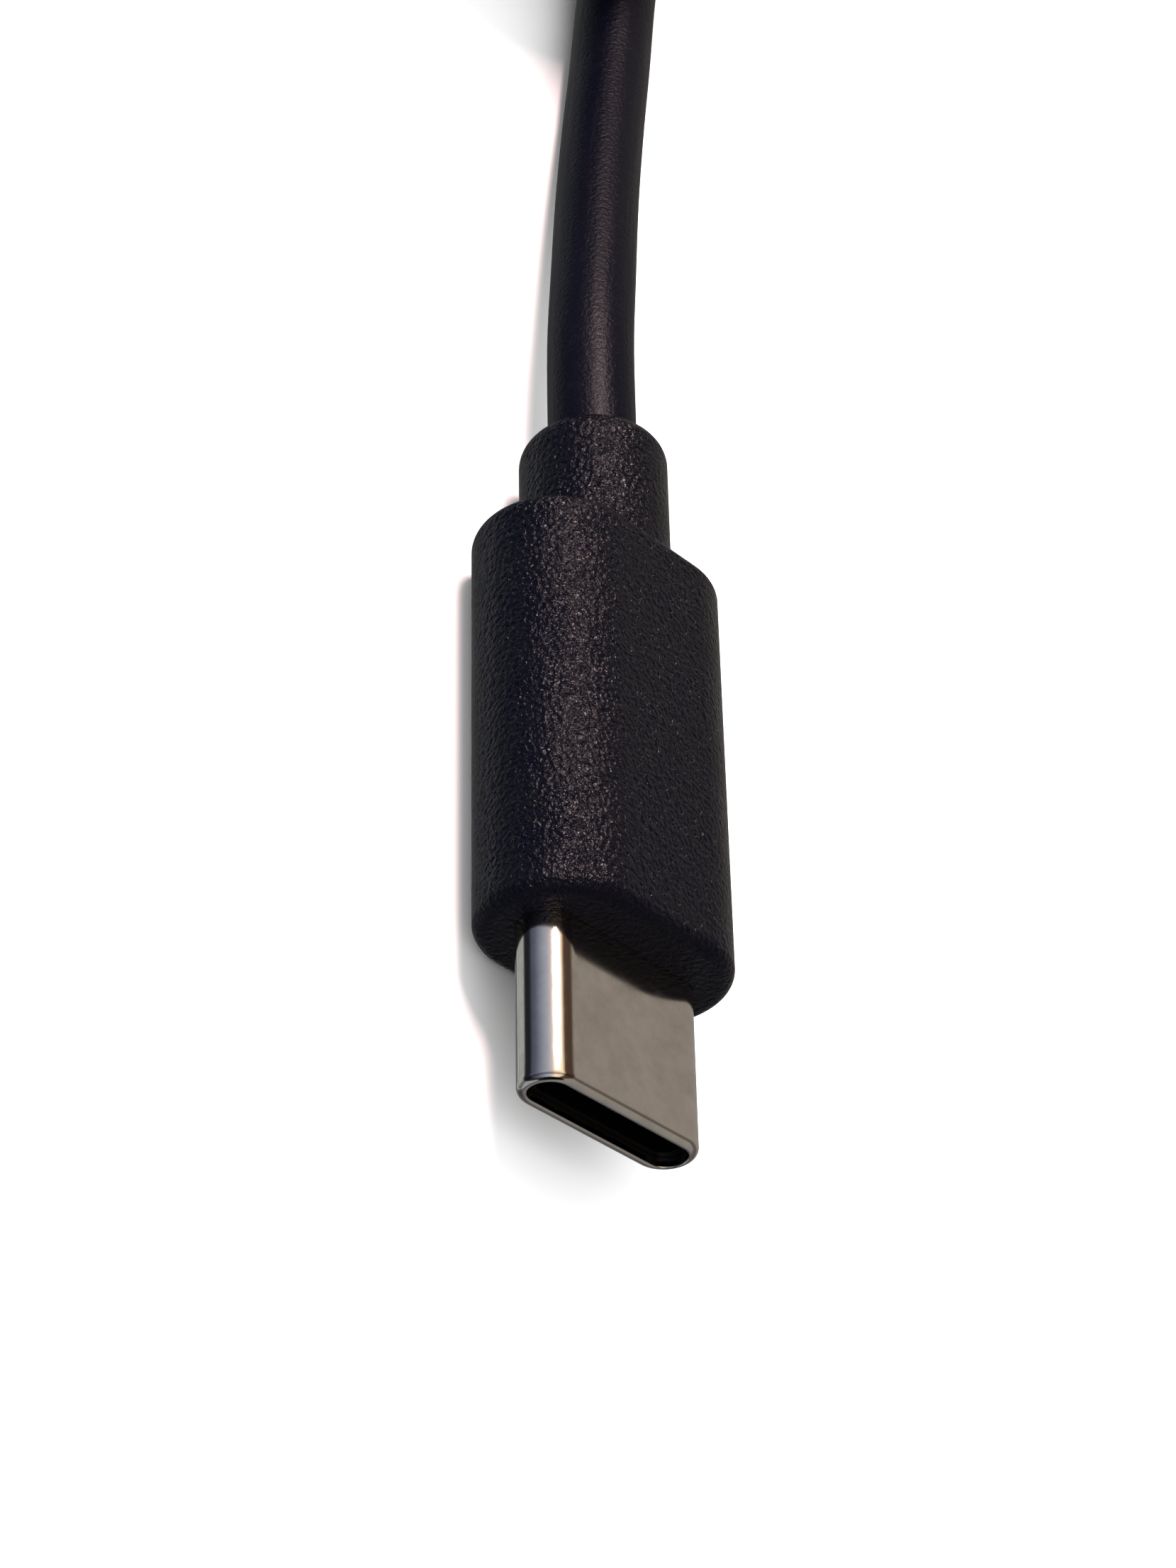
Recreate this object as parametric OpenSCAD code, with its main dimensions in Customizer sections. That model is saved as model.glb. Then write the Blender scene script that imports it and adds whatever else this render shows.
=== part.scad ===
// Reversible plug cable: a plug with its moulded grip, lying flat, one metre
// of round cord wound into a tied hank, and the same plug on the far end.
// Millimetres, +Z up. The near plug's tip points to -Y, its cord leaves at +Y,
// and the origin is under the middle of that plug, on the surface it lies on.

/* [Grip] */
// Width of the moulded grip, across its round sides
body_w = 10.85; // [10.2:0.05:12.4]
// Height of the moulded grip, between its flats
body_h = 6.4; // [5.8:0.1:7.6]
// Length of the moulded grip without its cord boss
body_l = 17.7; // [16.6:0.1:24]
// Radius of the grip's edges, front and back
body_edge_r = 0.55; // [0.2:0.05:0.9]
// Diameter of the round boss that the cord leaves by
boss_d = 5.8; // [5:0.1:6.2]
// Length of the round boss
boss_l = 5.8; // [3:0.1:12]
// Radius of the boss's far edge
boss_edge_r = 0.9; // [0.2:0.05:1]
// Radius of the fillet at the boss's root
boss_root_r = 0.25; // [0.1:0.05:0.5]

/* [Metal tip] */
// Width of the metal shell, across its round sides
shell_w = 8.25; // [8:0.05:8.5]
// Height of the metal shell
shell_h = 2.4; // [2.3:0.05:2.6]
// Length of shell that stands out of the grip
shell_out = 6.7; // [6.2:0.1:9]
// Length of shell that is held inside the grip
shell_held = 1.6; // [1.4:0.1:2.6]
// Wall of the shell
shell_wall = 0.22; // [0.16:0.02:0.26]
// Width of the mouth, inside its turned-in lip
mouth_w = 7.58; // [7.3:0.02:7.7]
// Height of the mouth, inside its turned-in lip
mouth_h = 1.55; // [1.4:0.05:1.7]
// Thickness of the turned-in lip, along the plug
lip_t = 0.4; // [0.3:0.05:0.6]
// Radius of the shell's front edge
shell_edge_r = 0.3; // [0.1:0.05:0.35]

/* [Insulator] */
// Clearance between pieces that slide together
fit_gap = 0.02; // [0.01:0.01:0.04]
// Width of the cavity that takes the mating tongue
cavity_w = 6.86; // [6.7:0.02:6.9]
// Height of the cavity that takes the mating tongue
cavity_h = 1.1; // [0.9:0.05:1.2]
// Wall behind the cavity
housing_back = 1.5; // [1:0.1:1.8]
// Length of the carrier that holds the contact tails
carrier_l = 1.55; // [1.3:0.05:2]

/* [Contacts] */
// Contacts in each row
contact_count = 12; // [2:1:12]
// Spacing of the contacts
contact_pitch = 0.5; // [0.45:0.01:0.5]
// Width of a contact
contact_w = 0.25; // [0.2:0.01:0.28]
// Thickness of a contact
contact_t = 0.12; // [0.08:0.01:0.14]
// Length of contact tail that lies on the card
tail_on_card = 1.8; // [1:0.1:2.4]
// Thickness of the latch plate
latch_t = 0.25; // [0.2:0.01:0.3]
// Width of a latch arm
latch_arm_w = 0.24; // [0.18:0.01:0.26]
// How far a latch hook stands into the cavity
hook_reach = 0.25; // [0.1:0.05:0.35]
// Fingers on each ground spring
finger_count = 4; // [2:1:5]
// Thickness of a ground spring
spring_t = 0.07; // [0.05:0.01:0.08]

/* [Card and shield] */
// Width of the small circuit card
card_w = 7.8; // [7:0.1:8]
// Length of the circuit card
card_l = 6.5; // [6:0.1:7.5]
// Thickness of the circuit card
card_t = 0.8; // [0.7:0.05:0.85]
// Width of the shield can and of the inner mould behind it
can_w = 9; // [8.8:0.1:9.4]
// Height of the shield can and of the inner mould behind it
can_h = 4.4; // [4.2:0.1:4.8]
// Wall of the shield can
can_wall = 0.2; // [0.12:0.02:0.24]
// Room for the wires, from the card to the outside of the can's back wall
wire_room = 1.6; // [1.5:0.1:2.2]
// Distance of the power wires' pads from the card's middle line
power_pad_x = 2.3; // [2.1:0.1:2.6]
// Distance of the data wires' pads from the card's middle line
data_pad_x = 1.4; // [1.2:0.1:1.6]
// Length of the can's collar that is crimped on the cord
collar_l = 2; // [1.6:0.1:2.4]
// Wall of the crimp ring round the collar
ring_wall = 0.22; // [0.12:0.02:0.3]
// Length of the inner mould
mould_l = 3.1; // [2.8:0.1:3.4]

/* [Cord] */
// Diameter of the cord
cord_d = 3.5; // [3.3:0.1:3.7]
// Diameter of a power wire
power_wire_d = 0.9; // [0.7:0.05:0.95]
// Diameter of a data wire
data_wire_d = 0.66; // [0.5:0.02:0.7]

/* [Hank] */
// Length of the hank's straight runs
run_l = 44; // [43:0.5:50]
// Radius of the innermost fold, at the middle of the cord
fold_r = 10.5; // [10.4:0.1:10.8]
// Runs side by side
runs_wide = 2; // [2:1:2]
// Runs on top of each other
runs_high = 3; // [2:1:4]
// Width of a tie
tie_w = 5; // [3:0.5:8]
// Thickness of a tie
tie_t = 0.5; // [0.4:0.05:0.6]

/* [Hidden] */
$fn = 48;
cut = 0.01;
plug_l = shell_out + body_l + boss_l;
axis_z = body_h / 2;
shell_l = shell_out + shell_held;
bore_w = shell_w - 2 * shell_wall;
bore_h = shell_h - 2 * shell_wall;
// Stations along a plug, counted back from its tip
housing_at = lip_t + fit_gap;
housing_l = shell_l - 0.6 - housing_at;
housing_end = housing_at + housing_l;
cavity_end = housing_end - housing_back;
carrier_at = housing_end + fit_gap;
carrier_end = carrier_at + carrier_l;
card_at = carrier_end + fit_gap;
card_end = card_at + card_l;
can_at = shell_l - 0.4;
can_end = card_end + wire_room;
jacket_at = can_end + can_wall;
mould_end = can_end + mould_l;
body_end = shell_out + body_l;
housing_w = bore_w - 2 * fit_gap;
housing_h = bore_h - 2 * fit_gap;
// Ground springs sit near the mouth, and the contacts' slots start behind them
spring_at = housing_at + 0.55;
spring_l = 1.3;
finger_w = 0.6;
finger_pitch = 1.5;
contact_at = spring_at + spring_l + 0.4;
tail_z = card_t / 2 + fit_gap + contact_t / 2;
slot_w = contact_w + 2 * fit_gap;
slot_foot = tail_z - contact_t / 2 - fit_gap;
latch_at = spring_at + 0.9;
latch_x = cavity_w / 2 + fit_gap;
pad_y = card_end - 0.7;
pad_r = 0.5;
pad_h = 0.1;
// Wire: name, diameter, pad across the card, side of the card, place in the cord
WIRES = [
    ["vbus", power_wire_d, -power_pad_x, 1, [-0.75, 0.6]],
    ["ground", power_wire_d, power_pad_x, 1, [0.75, 0.6]],
    ["cc", data_wire_d, 0, 1, [0, 1.15]],
    ["data_plus", data_wire_d, -data_pad_x, -1, [-0.5, -0.75]],
    ["data_minus", data_wire_d, data_pad_x, -1, [0.5, -0.75]]
];
// The hank lies beyond the near plug, with the far plug inside it
hank_x = -9;
hank_y = 82;
fold_out = fold_r + (runs_wide - 0.5) * cord_d;
fold_in = fold_r - cord_d / 2;
hank_h = runs_high * cord_d;
far_at = [-9, 68.8, 0];
cord_sides = 8;
rings_per_leg = 3;
// A wire's straight ends, and the steps between them
wire_straight = 0.2;
wire_rings = 10;
// Routes of the cord's two free stretches, from the near plug and to the far one
LEAD = [[0, 15.1, 3.2], [0, 17, 3.2], [0.15, 21, 3.1], [0.7, 25, 2.85], [1.5, 30, 2.45], [2.4, 35, 2.1],
    [3.3, 40, 1.85], [4, 45, 1.75], [4.65, 49.5, 1.9]];
TAIL = [[-16.4, 96.6, 2.25], [-15, 95.4, 2.3], [-12.3, 92.9, 2.5], [-10.3, 89.8, 2.85],
    [-9.3, 87, 3.15], [-9, 85, 3.2], [-9, 83.9, 3.2]];

PIECES = ["overmould", "shell", "front_housing", "rear_carrier", "upper_contacts", "lower_contacts",
    "latch_plate", "upper_ground_spring", "lower_ground_spring", "circuit_card", "bypass_capacitor",
    "solder_joints", "upper_shield", "lower_shield", "crimp_ring", "inner_mould", "jacket_end",
    "vbus_wire", "ground_wire", "cc_wire", "data_plus_wire", "data_minus_wire"];

// Flat shapes and the solids made from them

module pill(w, h) {
    square([w - h, h], center = true);
    for (side = [-1, 1]) translate([side * (w - h) / 2, 0]) circle(d = h);
}

// A pill-shaped bar from station y0 to y1 along the plug
module bar(w, h, y0, y1)
    translate([0, y0, 0]) rotate([-90, 0, 0]) linear_extrude(y1 - y0) pill(w, h);

// Half of a bar's long section: its length up, its half height across, with two edge radii
module edge_profile(reach, l, r_front, r_back) {
    difference() {
        square([reach, l]);
        translate([reach - r_front, 0]) corner_waste(r_front, -1);
        translate([reach - r_back, l]) corner_waste(r_back, 1);
    }
}

// What a corner of radius r loses
module corner_waste(r, up) {
    difference() {
        translate([0, up > 0 ? -r : -cut]) square([r + cut, r + cut]);
        translate([0, -up * r]) circle(r);
    }
}

// A pill-shaped bar whose front and back edges are rounded
module rounded_bar(w, h, y0, l, r_front, r_back) {
    translate([0, y0, 0]) rotate([-90, 0, 0]) {
        for (side = [-1, 1]) translate([side * (w - h) / 2, 0, 0])
            rotate_extrude() edge_profile(h / 2, l, r_front, r_back);
        for (side = [0, 180]) rotate([0, 0, side]) rotate([90, 0, 90])
            translate([0, 0, -(w - h) / 2]) linear_extrude(w - h)
                edge_profile(h / 2, l, r_front, r_back);
    }
}

module tube_y(d, y0, y1, at = [0, 0])
    translate([at.x, y0, at.y]) rotate([-90, 0, 0]) cylinder(d = d, h = y1 - y0);

// A strip of sheet metal: its long section's middle line, swept w wide about x
module strip(line, t, w, x) {
    n = len(line);
    outline = concat([for (p = line) p + [0, t / 2]], [for (i = [n - 1:-1:0]) line[i] - [0, t / 2]]);
    translate([x - w / 2, 0, 0]) rotate([90, 0, 90]) linear_extrude(w) polygon(outline);
}

// Turns the upper half's pieces over to make the lower ones
module flip() rotate([0, 180, 0]) children();

// Outer pieces

module overmould() color("#1c1c1f") {
    difference() {
        union() {
            rounded_bar(body_w, body_h, shell_out, body_l, body_edge_r, body_edge_r);
            translate([0, body_end - body_edge_r, 0]) rotate([-90, 0, 0]) rotate_extrude()
                edge_profile(boss_d / 2, boss_l + body_edge_r, cut, boss_edge_r);
            boss_root();
        }
        bar(shell_w, shell_h, shell_out - 1, can_at + cut);
        bar(can_w, can_h, can_at, mould_end);
        tube_y(cord_d, mould_end - cut, plug_l + 1);
    }
}

// Hollow round between the boss and the grip's back face, no wider than that face
module boss_root() {
    reach = boss_d / 2 + boss_root_r;
    intersection() {
        translate([0, body_end - cut, 0]) rotate([-90, 0, 0]) rotate_extrude() difference() {
            square([reach, boss_root_r + cut]);
            translate([reach, boss_root_r + cut]) circle(boss_root_r);
        }
        bar(body_w - 2 * body_edge_r, body_h - 2 * body_edge_r, body_end - 1, body_end + 1);
    }
}

module shell() color("#b9b4ab") {
    difference() {
        rounded_bar(shell_w, shell_h, 0, shell_l, shell_edge_r, cut);
        bar(mouth_w, mouth_h, -1, lip_t + cut);
        bar(bore_w, bore_h, lip_t, shell_l + 1);
    }
}

module jacket_end() color("#202023") tube_y(cord_d, jacket_at, plug_l);

// Insulators

module spring_windows() {
    top = housing_h / 2;
    base_z = top - 0.1;
    translate([-finger_span() / 2 - fit_gap, spring_at + spring_l - 0.34, base_z])
        cube([finger_span() + 2 * fit_gap, 0.34, 0.2]);
    for (x = finger_places()) translate([x - finger_w / 2 - fit_gap, spring_at, cavity_h / 2 - cut])
        cube([finger_w + 2 * fit_gap, spring_l, top]);
}

module front_housing() color("#141416") {
    difference() {
        bar(housing_w, housing_h, housing_at, housing_end);
        bar(cavity_w, cavity_h, housing_at - 1, cavity_end);
        for (side = [0, 180]) rotate([0, side, 0]) {
            translate([0, contact_at, 0]) beam_slots(housing_end - contact_at + 1);
            spring_windows();
        }
        for (side = [-1, 1]) translate([side * latch_x, latch_at - fit_gap + housing_l / 2, 0])
            cube([2 * (latch_arm_w + fit_gap), housing_l, latch_t + 2 * fit_gap], center = true);
    }
}

// Slots in the cavity's roof that the contact beams spring into
module beam_slots(l) {
    roof = housing_h / 2 - 0.1;
    for (x = contact_places()) translate([x - slot_w / 2, 0, slot_foot]) cube([slot_w, l, roof - slot_foot]);
}

module rear_carrier() color("#26262a") {
    difference() {
        bar(housing_w, housing_h, carrier_at, carrier_end);
        for (side = [0, 180]) rotate([0, side, 0])
            for (x = contact_places()) translate([x - slot_w / 2, carrier_at - 1, slot_foot])
                cube([slot_w, carrier_l + 2, contact_t + 2 * fit_gap]);
        translate([-latch_x - latch_arm_w - fit_gap, carrier_at - 1, -latch_t / 2 - fit_gap])
            cube([2 * (latch_x + latch_arm_w + fit_gap), 1 + latch_bar() + fit_gap, latch_t + 2 * fit_gap]);
    }
}

// Contacts, latch and ground springs

function contact_places() = [for (i = [0:contact_count - 1]) (i - (contact_count - 1) / 2) * contact_pitch];
function finger_places() = [for (i = [0:finger_count - 1]) (i - (finger_count - 1) / 2) * finger_pitch];
function finger_span() = (finger_count - 1) * finger_pitch + finger_w;
function latch_bar() = carrier_l - 0.65;

module contact_row() color("#c9a24b") {
    bump_z = cavity_h / 2 - 0.19;
    rest_z = cavity_h / 2 + 0.12;
    line = [[contact_at + 0.1, bump_z + 0.14], [contact_at + 0.45, bump_z], [contact_at + 0.8, bump_z + 0.06],
        [cavity_end - 0.5, rest_z], [cavity_end - 0.1, rest_z], [cavity_end + 0.6, tail_z],
        [card_at + tail_on_card, tail_z]];
    for (x = contact_places()) strip(line, contact_t, contact_w, x);
}

module latch_plate() color("#a9a9ad") {
    out_x = latch_x + latch_arm_w;
    hook_x = latch_x - hook_reach;
    back = carrier_at + latch_bar();
    translate([0, 0, -latch_t / 2]) linear_extrude(latch_t) {
        translate([-out_x, carrier_at + 0.2]) square([2 * out_x, back - carrier_at - 0.2]);
        for (side = [-1, 1]) polygon([[side * out_x, back], [side * out_x, latch_at],
            [side * latch_x, latch_at], [side * hook_x, latch_at + 0.3], [side * hook_x, latch_at + 0.6],
            [side * latch_x, latch_at + 0.75], [side * latch_x, back]]);
    }
}

module ground_spring() color("#b4b2ae") {
    base_z = housing_h / 2 - 0.05;
    back = spring_at + spring_l - fit_gap;
    translate([-finger_span() / 2, back - 0.3, base_z - spring_t / 2]) cube([finger_span(), 0.3, spring_t]);
    line = [[spring_at + 0.15, cavity_h / 2 - 0.03], [spring_at + 0.4, cavity_h / 2 - 0.12],
        [spring_at + 0.65, cavity_h / 2 - 0.03], [back - 0.3, base_z], [back - 0.15, base_z]];
    for (x = finger_places()) strip(line, spring_t, finger_w, x);
}

// Card, shield and wires

module circuit_card() color("#2f6b3c")
    translate([-card_w / 2, card_at, -card_t / 2]) cube([card_w, card_l, card_t]);

module bypass_capacitor() color("#b08d5b")
    translate([-0.5, (card_at + tail_on_card + pad_y) / 2 - 0.25, card_t / 2]) cube([1, 0.5, 0.5]);

// A wire runs straight over its pad, eases across and then down to its place in the cord, and ends straight
module wire(w) {
    z = w[3] * (card_t / 2 + pad_h + fit_gap + w[1] / 2);
    start = [w[2], pad_y, z];
    end = [w[4].x, jacket_at - fit_gap, w[4].y];
    across = end - [0, wire_straight, 0] - start;
    eased = [for (i = [0:wire_rings]) let (t = i / wire_rings, s = t * t * (3 - 2 * t))
        start + [s * across.x, t * across.y, s * s * across.z]];
    swept(concat([start - [0, wire_straight, 0]], eased, [end]), w[1], cord_sides, 1);
}

// Flat joints under the wires' ends
module solder_joints() color("#cfd2d6")
    for (w = WIRES) translate([w[2], pad_y, w[3] > 0 ? card_t / 2 : -card_t / 2 - pad_h])
        cylinder(r = pad_r, h = pad_h);

module upper_shield() color("#c4c6c9") shield_half();
module lower_shield() color("#bfc1c4") flip() shield_half();

module shield_half() {
    intersection() {
        difference() {
            union() {
                bar(can_w, can_h, can_at, can_end);
                tube_y(cord_d + 2 * can_wall, can_end - cut, can_end + collar_l);
            }
            bar(shell_w, shell_h, can_at - 1, can_at + can_wall + cut);
            bar(can_w - 2 * can_wall, can_h - 2 * can_wall, can_at + can_wall, can_end - can_wall);
            tube_y(cord_d, can_end - can_wall - cut, can_end + collar_l + 1);
        }
        translate([-can_w, can_at - 1, 0]) cube([2 * can_w, can_end - can_at + collar_l + 2, can_h]);
    }
}

module crimp_ring() color("#b87a4b") difference() {
    tube_y(cord_d + 2 * (can_wall + ring_wall), can_end + 0.3, can_end + collar_l - 0.2);
    tube_y(cord_d + 2 * can_wall, can_end, can_end + collar_l);
}

module inner_mould() color("#d9d6cc") difference() {
    bar(can_w, can_h, can_end, mould_end);
    tube_y(cord_d + 2 * can_wall, can_end - 1, can_end + collar_l);
    tube_y(cord_d + 2 * (can_wall + ring_wall), can_end + 0.3, can_end + collar_l - 0.2);
    tube_y(cord_d, can_end, mould_end + 1);
}

// Cord, hank and ties

// A smooth curve through four neighbouring points, t from 0 to 1 between the middle two
function through(a, b, c, d, t) = 0.5 * ((2 * b) + (c - a) * t + (2 * a - 5 * b + 4 * c - d) * t * t
    + (3 * b - a - 3 * c + d) * t * t * t);

function smooth(route, n) = let (last = len(route) - 1) concat(
    [for (i = [0:last - 1], k = [0:n - 1])
        through(i > 0 ? route[i - 1] : 2 * route[0] - route[1], route[i], route[i + 1],
            i < last - 1 ? route[i + 2] : 2 * route[last] - route[last - 1], k / n)],
    [route[last]]);

// A round tube swept along a route that never runs straight up
module swept(route, d, sides, n) {
    path = smooth(route, n);
    last = len(path) - 1;
    rings = [for (i = [0:last]) let (
            along = i == 0 ? route[1] - route[0] : i == last ? route[len(route) - 1] - route[len(route) - 2]
                : path[i + 1] - path[i - 1],
            ahead = along / norm(along),
            across = cross(ahead, [0, 0, 1]) / norm(cross(ahead, [0, 0, 1])),
            up = cross(across, ahead))
        [for (k = [0:sides - 1]) path[i] + d / 2 * (cos(360 * k / sides) * across + sin(360 * k / sides) * up)]];
    points = [for (ring = rings, p = ring) p];
    walls = [for (i = [0:last - 1], k = [0:sides - 1]) let (a = i * sides + k, b = i * sides + (k + 1) % sides)
        each [[a, a + sides, b + sides], [a, b + sides, b]]];
    ends = [[for (k = [0:sides - 1]) k], [for (k = [sides - 1:-1:0]) last * sides + k]];
    polyhedron(points, concat(walls, ends));
}

module cord_lead() color("#202023") swept(LEAD, cord_d, cord_sides, rings_per_leg);
module cord_tail() color("#202023") swept(TAIL, cord_d, cord_sides, rings_per_leg);

module at_hank() translate([hank_x, hank_y, tie_t]) children();

module soft_rect(x0, x1, z0, z1, r) {
    translate([x0 + r, z0]) square([x1 - x0 - 2 * r, z1 - z0]);
    translate([x0, z0 + r]) square([x1 - x0, z1 - z0 - 2 * r]);
    for (x = [x0 + r, x1 - r], z = [z0 + r, z1 - r]) translate([x, z]) circle(r);
}

module cord_hank() color("#202023") at_hank() {
    for (side = [0, 180]) rotate([0, 0, side]) {
        translate([0, run_l / 2, 0]) rotate_extrude(angle = 180) soft_rect(fold_in, fold_out, 0, hank_h, cord_d / 2);
        translate([0, run_l / 2, 0]) rotate([90, 0, 0]) linear_extrude(run_l)
            soft_rect(fold_in, fold_out, 0, hank_h, cord_d / 2);
    }
}

module hank_ties() color("#2a2a2d") at_hank() {
    for (side = [0, 180]) rotate([0, 0, side]) translate([0, tie_w / 2, 0]) rotate([90, 0, 0])
        linear_extrude(tie_w) difference() {
            union() {
                soft_rect(fold_in - tie_t, fold_out + tie_t, -tie_t, hank_h + tie_t, cord_d / 2 + tie_t);
                translate([fold_in + cord_d / 2, hank_h]) square([2 * cord_d - 1.5, 2 * tie_t]);
            }
            soft_rect(fold_in, fold_out, 0, hank_h, cord_d / 2);
        }
}

for (end = [["", [0, 0, 0]], ["far_", far_at]]) translate(end[1] + [0, -plug_l / 2, axis_z]) {
    overmould();
    shell();
    front_housing();
    rear_carrier();
    contact_row();
    flip() contact_row();
    latch_plate();
    ground_spring();
    flip() ground_spring();
    circuit_card();
    bypass_capacitor();
    solder_joints();
    upper_shield();
    lower_shield();
    crimp_ring();
    inner_mould();
    jacket_end();
    color("#a3262b") wire(WIRES[0]);
    color("#202020") wire(WIRES[1]);
    color("#2a4fa0") wire(WIRES[2]);
    color("#2f8a45") wire(WIRES[3]);
    color("#e6e6e2") wire(WIRES[4]);
}
cord_lead();
cord_hank();
cord_tail();
hank_ties();
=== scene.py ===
# Reversible plug cable: one plug close to the camera, its cord, and the rest of the metre in a tied hank
import math

import bpy
import numpy as np
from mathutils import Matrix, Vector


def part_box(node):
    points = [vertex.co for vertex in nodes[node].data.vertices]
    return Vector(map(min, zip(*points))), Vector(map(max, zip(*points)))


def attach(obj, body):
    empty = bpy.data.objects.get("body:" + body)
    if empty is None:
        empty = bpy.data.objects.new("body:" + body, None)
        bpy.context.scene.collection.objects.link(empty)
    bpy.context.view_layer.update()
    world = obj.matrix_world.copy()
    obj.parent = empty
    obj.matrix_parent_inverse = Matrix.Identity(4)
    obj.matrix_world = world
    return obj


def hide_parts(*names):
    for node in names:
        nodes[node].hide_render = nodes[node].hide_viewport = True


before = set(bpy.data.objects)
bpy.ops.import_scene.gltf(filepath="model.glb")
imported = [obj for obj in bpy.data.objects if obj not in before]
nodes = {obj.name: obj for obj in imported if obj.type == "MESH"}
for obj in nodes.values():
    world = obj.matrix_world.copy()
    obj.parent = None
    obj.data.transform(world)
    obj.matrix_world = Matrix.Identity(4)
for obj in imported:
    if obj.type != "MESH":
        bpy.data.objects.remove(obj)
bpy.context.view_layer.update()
mm = 0.001
print("frame loaded with", len(nodes), "nodes")

# The plug's own origin: its tip, on the middle line, for the near and for the far plug
tipLow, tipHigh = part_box("shell")
farLow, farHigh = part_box("far_shell")
tipPlace = np.array([(tipLow.x + tipHigh.x) / 2, tipLow.y, (tipLow.z + tipHigh.z) / 2]) / mm
farPlace = np.array([(farLow.x + farHigh.x) / 2, farLow.y, (farLow.z + farHigh.z) / 2]) / mm


# A mesh from a grid of points in millimetres: neighbouring rows and columns are joined by four-sided faces,
# the last column is joined to the first, and with loop the last row to the first as well
def gridPiece(name, grid, loop=False, ends=False, uvSize=None, sharpAngle=50):
    rows, columns = grid.shape[:2]
    index = np.arange(rows * columns).reshape(rows, columns)
    index = np.concatenate([index, index[:, :1]], axis=1)
    if loop:
        index = np.concatenate([index, index[:1]], axis=0)
    quads = np.stack([index[:-1, :-1], index[:-1, 1:], index[1:, 1:], index[1:, :-1]], axis=-1).reshape(-1, 4)
    mesh = bpy.data.meshes.new(name)
    faces = quads.tolist()
    if ends:  # one flat face closes each end
        faces += [index[0, :-1][::-1].tolist(), index[rows - 1, :-1].tolist()]
    mesh.from_pydata((grid.reshape(-1, 3) * mm).tolist(), [], faces)
    if uvSize is not None:  # along the rows in real size, around the columns once
        v, u = np.meshgrid(np.arange(index.shape[0]) * uvSize, np.arange(columns + 1) / columns, indexing="ij")
        corners = [(a[:-1, :-1], a[:-1, 1:], a[1:, 1:], a[1:, :-1]) for a in (u, v)]
        uv = np.stack([np.stack(corner, axis=-1).reshape(-1, 4) for corner in corners], axis=-1).reshape(-1, 2)
        layer = mesh.uv_layers.new(name="along")
        values = np.zeros((len(mesh.loops), 2))
        values[:len(uv)] = uv
        layer.data.foreach_set("uv", values.ravel())
    mesh.polygons.foreach_set("use_smooth", np.ones(len(mesh.polygons), bool))
    mesh.set_sharp_from_angle(angle=math.radians(sharpAngle))
    mesh.update()
    piece = bpy.data.objects.new(name, mesh)
    bpy.context.scene.collection.objects.link(piece)
    return piece


# Camera: as far off and as near to level as in the photograph, turned about its own axis so the plug stands upright
cameraValues = {
    "lens": 85.017,
    "sensor": 36.0,
    "place": (-83.407, -78.751, 76.533),
    "aim": (-0.698, -1.066, 3.2),
    "roll": 61.744,
}


# The frame's right is the level right of the view, turned by the roll; up is square to it and to the view
def makeCamera(values):
    place = np.array(values["place"])
    ahead = np.array(values["aim"]) - place
    ahead /= np.linalg.norm(ahead)
    level = np.cross(ahead, [0, 0, 1])
    level /= np.linalg.norm(level)
    roll = math.radians(values["roll"])
    right = level * math.cos(roll) + np.cross(level, ahead) * math.sin(roll)
    matrix = np.eye(4)
    matrix[:3, 0], matrix[:3, 1], matrix[:3, 2] = right, np.cross(-ahead, right), -ahead
    matrix[:3, 3] = place * mm
    data = bpy.data.cameras.new("camera")
    data.lens, data.sensor_width = values["lens"], values["sensor"]
    data.clip_start, data.clip_end = 0.005, 20
    camera = bpy.data.objects.new("camera", data)
    bpy.context.scene.collection.objects.link(camera)
    camera.matrix_world = matrix.T.tolist()
    bpy.context.scene.camera = camera


makeCamera(cameraValues)
print("camera placed")

# Cord: the route's free points are given, and the hank's turns are worked out
cordValues = {
    "diameter": 3.5,
    "exit": (0, 15.1, 3.2),
    "lead": [(0, 15.1, 3.2), (0, 17, 3.2), (0.15, 21, 3.1), (0.7, 25, 2.85), (1.5, 30, 2.45), (2.4, 35, 2.1),
             (3.3, 40, 1.85), (4, 45, 1.75), (4.65, 49.5, 1.9), (4.9, 53, 2.1), (5, 57, 2.25), (5, 60, 2.25)],
    "hankMiddle": (-9, 82),
    "run": 44,
    "fold": 10.5,
    "floorGap": 0.5,
    "change": 20,
    "changeStagger": 6,
    "tailTurn": 55,
    "tailRadius": 14,
    "sides": 40,
    "step": 1.1,
}


# A smooth curve through given points: a cubic between each two, with slopes from the neighbours
def smoothLine(points, perLeg=12):
    p = np.array(points, float)
    p = np.vstack([2 * p[0] - p[1], p, 2 * p[-1] - p[-2]])
    t = np.linspace(0, 1, perLeg, endpoint=False)[:, None, None]
    a, b, c, d = p[:-3], p[1:-2], p[2:-1], p[3:]
    curve = 0.5 * (2 * b + (c - a) * t + (2 * a - 5 * b + 4 * c - d) * t ** 2 + (3 * b - a - 3 * c + d) * t ** 3)
    return np.vstack([curve.transpose(1, 0, 2).reshape(-1, 3), p[-2]])


# A slope-free step from 0 to 1
def ease(t):
    t = np.clip(t, 0, 1)
    return t * t * (3 - 2 * t)


# An arc about a centre, from one angle to another in degrees, its radius and height given at both ends
def arc(center, radius, start, end, z0, z1, step=2.0):
    angle = np.radians(np.linspace(start, end, max(3, int(abs(end - start) / step) + 1)))
    height = z0 + (z1 - z0) * ease(np.linspace(0, 1, len(angle)))
    return np.stack([center[0] + radius * np.cos(angle), center[1] + radius * np.sin(angle), height], axis=1)


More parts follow.
